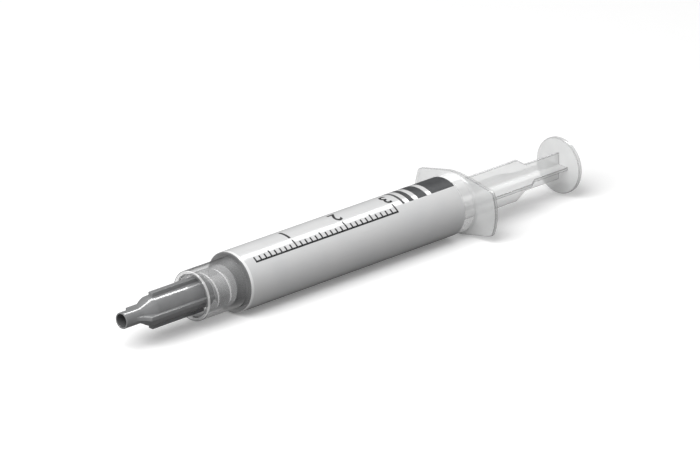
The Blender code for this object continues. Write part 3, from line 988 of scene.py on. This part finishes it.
paste = {
    "wet": 0.02, "tip": 11.70, "core": 1.12, "tipEase": 0.02, "tipShare": 0.7, "tipRound": 0.25,
    "throat": 0.62, "throatDepth": 0.45, "throatFlare": 0.2, "front": -0.55, "corner": 0.55,
    "cornerBack": 0.95, "sealGap": 0.04, "lipDepth": 0.1, "lipGap": 0.05, "steps": 128}


def makePaste():
    p = paste
    wall = barrel["bore"] + p["wet"]
    nose = seal["front"] + p["sealGap"]
    waist = nose - seal["noseLength"]
    line = [
        (p["tip"], 0), (p["tip"] - p["tipEase"], p["core"] * p["tipShare"]),
        (p["tip"] - p["tipRound"], p["core"]), (p["throat"] + p["throatDepth"], p["core"]),
        (p["throat"], p["core"] + p["throatFlare"]),
        (p["front"], wall - p["corner"]), (p["front"] - p["cornerBack"], wall),
        (waist - p["lipDepth"], wall), (waist, seal["waist"] + p["lipGap"]),
        (nose, seal["noseRadius"]), (nose, 0)]
    shape = turnedShape(line, evenAngles(p["steps"]))
    piece = newPiece("pasteColumn", shape, pickFinishes(["greyPaste"]))
    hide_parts("thermal_paste")
    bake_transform(piece)


makePaste()
print("filling made")


# Cap: flared body with a hollow stem, two blunt fins and two wings

cap = {
    "tip": 27.10, "stem": 1.57, "stemRound": 0.14, "stemBore": 1.28, "boreRound": 0.10, "boreEnd": 18.40,
    "boreCone": 0.35, "boreStep": 0.1, "boreFillet": 0.2, "darkFrom": 0.1, "darkTo": 0.12,
    "flareFront": 23.30, "flareBack": 19.90, "flareSteps": 14, "body": 2.85, "back": 6.40, "backRound": 0.2,
    "socketEnd": 12.40, "socketGap": 0.12, "socketRound": 0.2, "mouthRound": 0.15,
    "fin": 3.55, "finBack": 6.90, "bluntWidth": 1.10, "bluntFront": 19.85, "bodySink": 0.3, "stemSink": 0.2,
    "wingWidth": 0.76, "wingShoulder": 22.75, "wingBend": (0.75, 0.35), "wingToe": 25.10, "wingSteps": 8,
    "wingRoots": (17.0, 17.6), "edge": 0.06, "steps": 128}
capFinish = ["capPlastic", "capBoreShade"]


def capShape():
    c = cap
    flare = []
    for i in range(c["flareSteps"] + 1):
        share = i / c["flareSteps"]
        radius = c["stem"] + (c["body"] - c["stem"]) * smoothStep(share)
        flare.append((c["flareFront"] + (c["flareBack"] - c["flareFront"]) * share, radius))
    stem = softCorners([
        (c["boreEnd"], 0, 0),
        (c["boreEnd"] + c["boreCone"], c["stemBore"] - c["boreStep"], c["boreFillet"]),
        (c["tip"], c["stemBore"], c["boreRound"]), (c["tip"], c["stem"], c["stemRound"]),
        (c["flareFront"], c["stem"], 0)])[:-1]
    back = softCorners([
        (c["flareBack"], c["body"], 0), (c["back"], c["body"], c["backRound"]),
        (c["back"], coneRadius(c["back"]) + c["socketGap"], c["mouthRound"]),
        (c["socketEnd"], coneRadius(c["socketEnd"]) + c["socketGap"], c["socketRound"]),
        (c["socketEnd"], 0, 0)])[1:]
    shape = turnedShape(stem + flare + back, evenAngles(c["steps"]))
    # painted shade: the stem's bore is painted darker than the cap
    markFaces(shape, capFinish.index("capBoreShade"), lambda station, reach, normal: (
        c["boreEnd"] - c["darkFrom"] < station < c["tip"] - c["darkTo"]
        and reach < c["stemBore"] + meshRules["slack"]))
    return shape


def bluntOutline():
    root = cap["body"] - cap["bodySink"]
    return [(cap["finBack"], root), (cap["bluntFront"], root),
            (cap["bluntFront"], cap["fin"]), (cap["finBack"], cap["fin"])]


def wingOutline():
    # the wing runs out on the flare and the stem, and its front end sweeps down to a toe
    root, stemRoot = cap["body"] - cap["bodySink"], cap["stem"] - cap["stemSink"]
    ahead, above = cap["wingBend"]
    toe = Vector((cap["wingToe"], stemRoot))
    turn = Vector((cap["wingShoulder"] + ahead, cap["stem"] + above))
    shoulder = Vector((cap["wingShoulder"], cap["fin"]))
    bodyEnd, stemStart = cap["wingRoots"]
    outline = [(cap["finBack"], root), (bodyEnd, root), (stemStart, stemRoot)]
    return outline + bend(toe, turn, shoulder, cap["wingSteps"]) + [(cap["finBack"], cap["fin"])]


def makeCap():
    piece = newPiece("capBody", capShape(), pickFinishes(capFinish))
    grey = pickFinishes(["capPlastic"])
    tools = []
    for side in (0.0, math.pi):
        shape = plateShape(wingOutline(), cap["wingWidth"] / 2, side, cap["edge"])
        tools.append(newPiece("wing", shape, grey))
    for side in (math.pi / 2, 3 * math.pi / 2):
        shape = plateShape(bluntOutline(), cap["bluntWidth"] / 2, side, cap["edge"])
        tools.append(newPiece("fin", shape, grey))
    uniteInto(piece, tools)
    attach(piece, "cap")
    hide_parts("tip_cap")


makeCap()
print("cap made")


# Studio: white floor, a key light, an overhead dome, a long strip for the highlights, and the camera

studio = {
    "floorSize": 6.0, "floorSeen": (0.92, 0.92, 0.92), "floorGlow": 0.17, "floorBounce": (0.28, 0.28, 0.28),
    "fibreScale": 300.0, "fibreDetail": 4.0, "fibreRough": 0.6, "fibreDark": 0.99,
    "surround": (0.27, 0.27, 0.27), "backdrop": (1.0, 1.0, 1.0), "centre": (0.0, 0.0, 0.0),
    "keyAt": (0.60, 0.14, 0.66), "keyWide": 0.75, "keyPower": 9.0,
    "glossAt": (0.0, -0.14, 0.79), "glossLong": 1.9, "glossWide": 0.20, "glossPower": 14.0,
    "domeAt": (0.0, -0.05, 1.00), "domeWide": 1.5, "domePower": 2.4,
    "bounces": 12, "clearBounces": 24}
view = {
    "at": (0.72034, 0.72069, 0.39471), "aim": (-0.000477, -0.000178, 0.007419),
    "lens": 297.6, "sensor": 36.0, "clipStart": 0.05, "clipEnd": 50.0}


def seenMix(tree, unseen, seen, output):
    # one shader for what the camera sees itself, another for the light that it gives
    path = tree.nodes.new("ShaderNodeLightPath")
    mix = tree.nodes.new("ShaderNodeMixShader")
    setSockets(mix, {"Fac": path.outputs["Is Camera Ray"], 1: unseen, 2: seen})
    setSockets(output, {"Surface": mix.outputs["Shader"]})


def makeFloor():
    half = studio["floorSize"] / 2
    shape = bmesh.new()
    corners = [shape.verts.new((x * half, y * half, 0.0)) for x, y in ((-1, -1), (1, -1), (1, 1), (-1, 1))]
    shape.faces.new(corners)
    material, tree, shader = newMaterial("floorPaper")
    tree.nodes.remove(shader)
    coords = tree.nodes.new("ShaderNodeTexCoord").outputs["Object"]
    fibre = addNoise(tree, coords, studio["fibreScale"], studio["fibreDetail"], studio["fibreRough"])
    low = tuple(c * studio["fibreDark"] for c in studio["floorSeen"])
    paper = tree.nodes.new("ShaderNodeBsdfDiffuse")
    setSockets(paper, {"Color": mixColours(tree, fibre, low, studio["floorSeen"])})
    glow = tree.nodes.new("ShaderNodeEmission")     # a light table lifts the deepest shadow
    setSockets(glow, {"Strength": studio["floorGlow"]})
    lit = tree.nodes.new("ShaderNodeAddShader")
    setSockets(lit, {0: paper.outputs["BSDF"], 1: glow.outputs["Emission"]})
    bounce = tree.nodes.new("ShaderNodeBsdfDiffuse")
    setSockets(bounce, {"Color": (*studio["floorBounce"], 1.0)})
    seenMix(tree, bounce.outputs["BSDF"], lit.outputs["Shader"], tree.nodes["Material Output"])
    floor = newPiece("studioFloor", shape, [material])


def makeWorld():
    world = bpy.data.worlds.new("studioWorld")
    bpy.context.scene.world = world
    world.use_nodes = True
    tree = world.node_tree
    around = tree.nodes["Background"]
    setSockets(around, {"Color": (*studio["surround"], 1.0)})
    backdrop = tree.nodes.new("ShaderNodeBackground")
    setSockets(backdrop, {"Color": (*studio["backdrop"], 1.0)})
    seenMix(tree, around.outputs["Background"], backdrop.outputs["Background"], tree.nodes["World Output"])


def aimObject(holder, at, target):
    holder.location = at
    holder.rotation_euler = (Vector(target) - Vector(at)).to_track_quat("-Z", "Y").to_euler()


def addSoftbox(name, at, target, sizeX, sizeY, power):
    light = bpy.data.lights.new(name, "AREA")
    light.shape = "RECTANGLE"
    light.size = sizeX
    light.size_y = sizeY
    light.energy = power
    holder = addObject(name, light)
    aimObject(holder, at, target)
    return holder


def makeLights():
    keyLight = addSoftbox("keyLight", studio["keyAt"], studio["centre"],
                          studio["keyWide"], studio["keyWide"], studio["keyPower"])
    keyLight.visible_glossy = False
    addSoftbox("overheadDome", studio["domeAt"], studio["centre"],
               studio["domeWide"], studio["domeWide"], studio["domePower"])
    glossStrip = addSoftbox("glossStrip", studio["glossAt"], (0.0, studio["glossAt"][1], 0.0),
                            studio["glossLong"], studio["glossWide"], studio["glossPower"])
    glossStrip.visible_diffuse = False      # seen in reflections only


def makeCamera():
    data = bpy.data.cameras.new("studioCamera")
    data.lens = view["lens"]
    data.sensor_width = view["sensor"]
    data.clip_start = view["clipStart"]
    data.clip_end = view["clipEnd"]
    holder = addObject("studioCamera", data)
    aimObject(holder, view["at"], view["aim"])
    bpy.context.scene.camera = holder


makeFloor()
makeWorld()
makeLights()
makeCamera()
scene = bpy.context.scene
scene.view_settings.view_transform = "Standard"
scene.cycles.max_bounces = studio["bounces"]
scene.cycles.transparent_max_bounces = studio["clearBounces"]
print("studio made")
